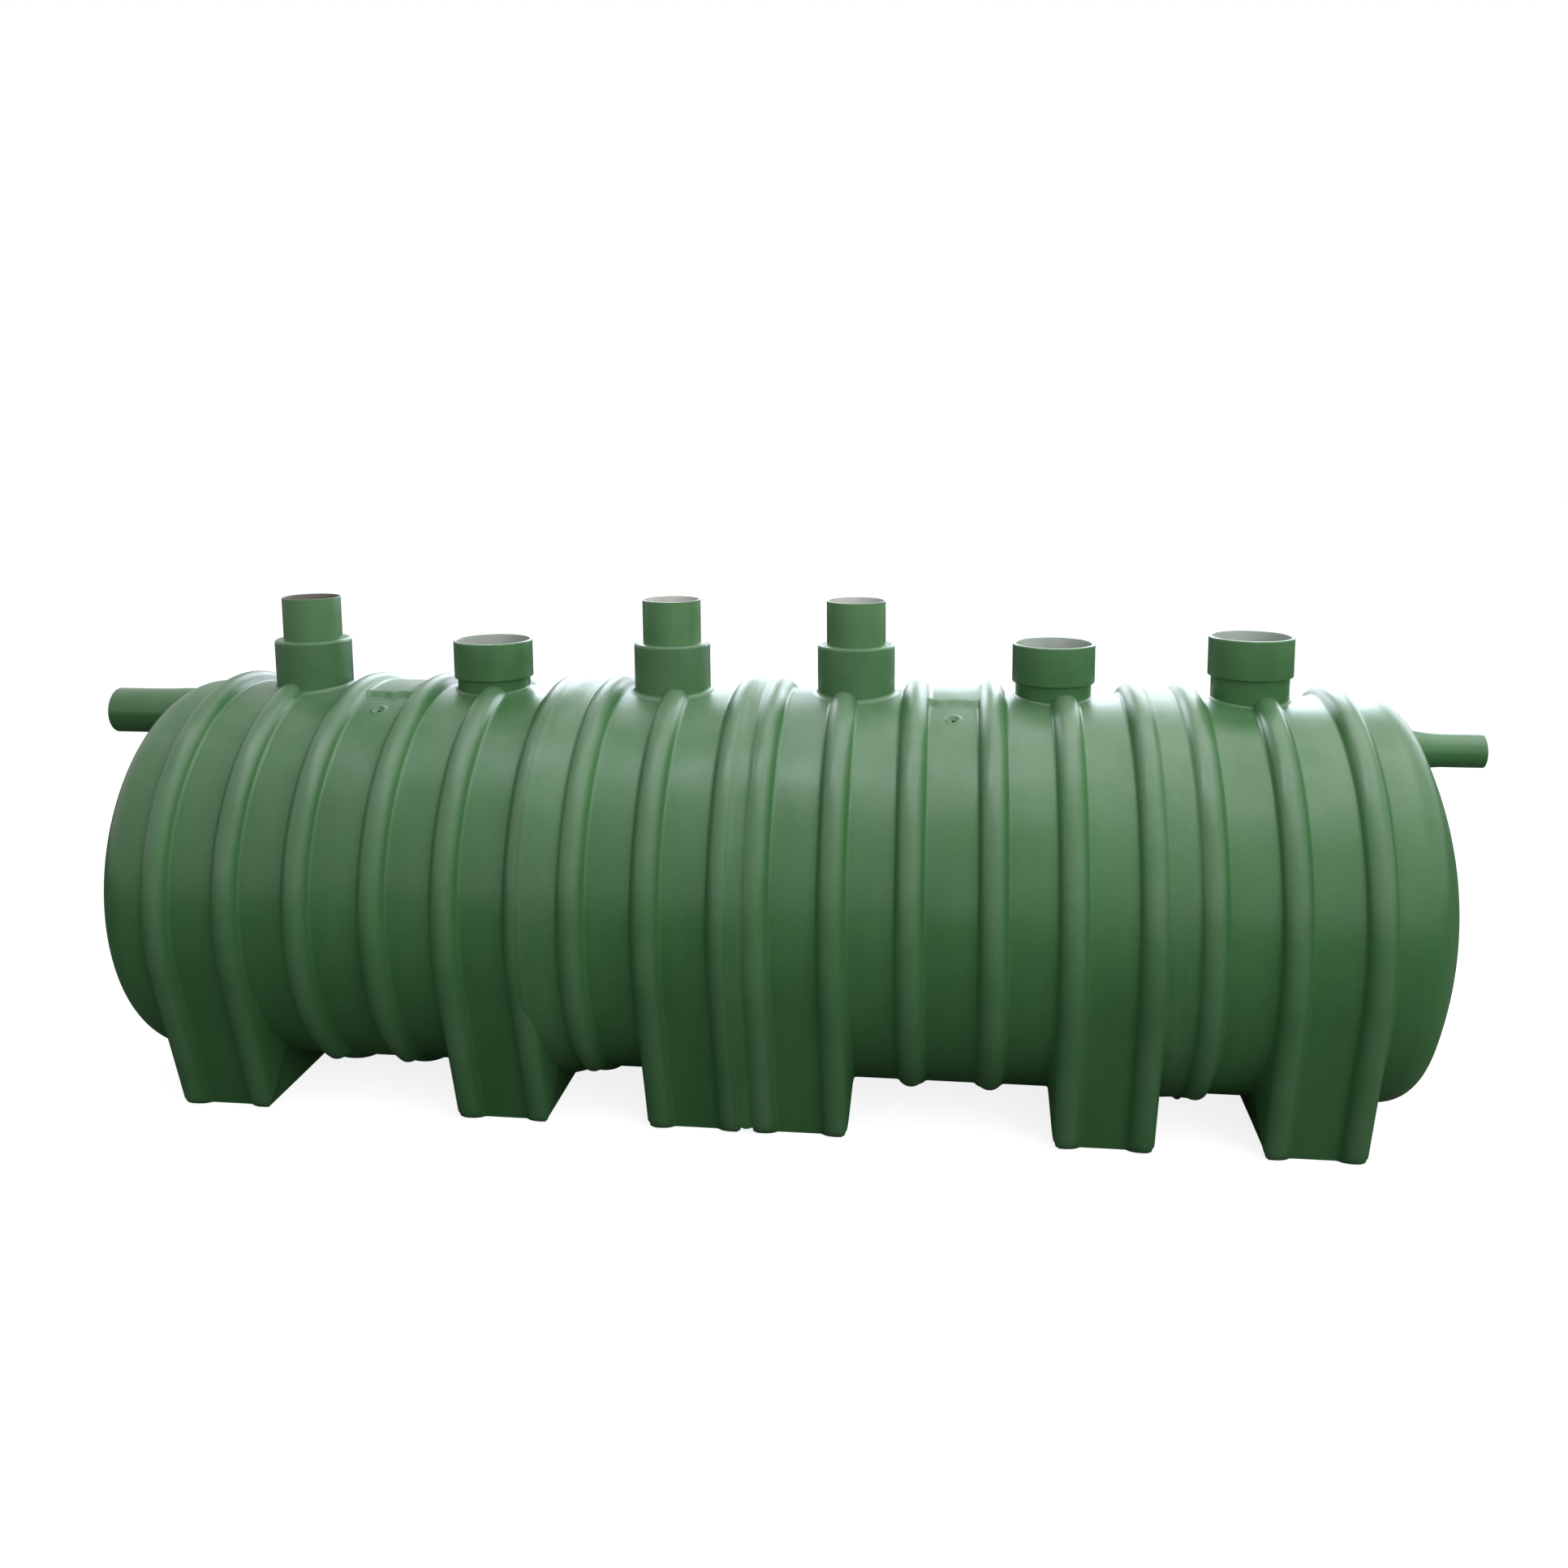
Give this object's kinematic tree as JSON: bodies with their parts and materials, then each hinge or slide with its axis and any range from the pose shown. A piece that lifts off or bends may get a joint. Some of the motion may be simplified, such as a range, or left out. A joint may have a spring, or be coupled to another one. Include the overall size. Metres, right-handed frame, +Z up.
{
  "type": "septic tank",
  "caption": "Horizontal ribbed septic tank of green moulded laminate with domed ends, moulded feet, crown risers and sockets, and an inlet and an outlet pipe.",
  "frame": {"origin": "middle of the tank's footprint, on the ground under the feet", "axes": "+X along the tank from the inlet to the outlet, +Z up, +Y to the back"},
  "size_m": [4.738, 1.394, 1.678],
  "materials": {
    "tank_laminate": "satin",
    "joint_laminate": "satin",
    "riser_pipe": "satin",
    "service_pipe": "satin",
    "socket_sleeve": "satin"
  },
  "bodies": {
    "root": {"inlet_dome": "tank_laminate", "shell_a": "tank_laminate", "shell_b": "tank_laminate", "shell_c": "tank_laminate", "shell_d": "tank_laminate", "outlet_dome": "tank_laminate", "joint_wrap_ab": "joint_laminate", "joint_wrap_bc": "joint_laminate", "joint_wrap_cd": "joint_laminate", "joint_strip_front": "joint_laminate", "joint_strip_back": "joint_laminate", "foot_1": "tank_laminate", "foot_2": "tank_laminate", "foot_3": "tank_laminate", "foot_4": "tank_laminate", "foot_5": "tank_laminate", "foot_6": "tank_laminate", "collar_1": "tank_laminate", "collar_3": "tank_laminate", "collar_4": "tank_laminate", "riser_1": "riser_pipe", "riser_3": "riser_pipe", "riser_4": "riser_pipe", "neck_2": "tank_laminate", "neck_5": "tank_laminate", "neck_6": "tank_laminate", "socket_2": "socket_sleeve", "socket_5": "socket_sleeve", "socket_6": "socket_sleeve", "inlet_pipe": "service_pipe", "outlet_pipe": "service_pipe", "lifting_pad_a": "tank_laminate", "lifting_pad_c": "tank_laminate"}
  },
  "joints": []
}
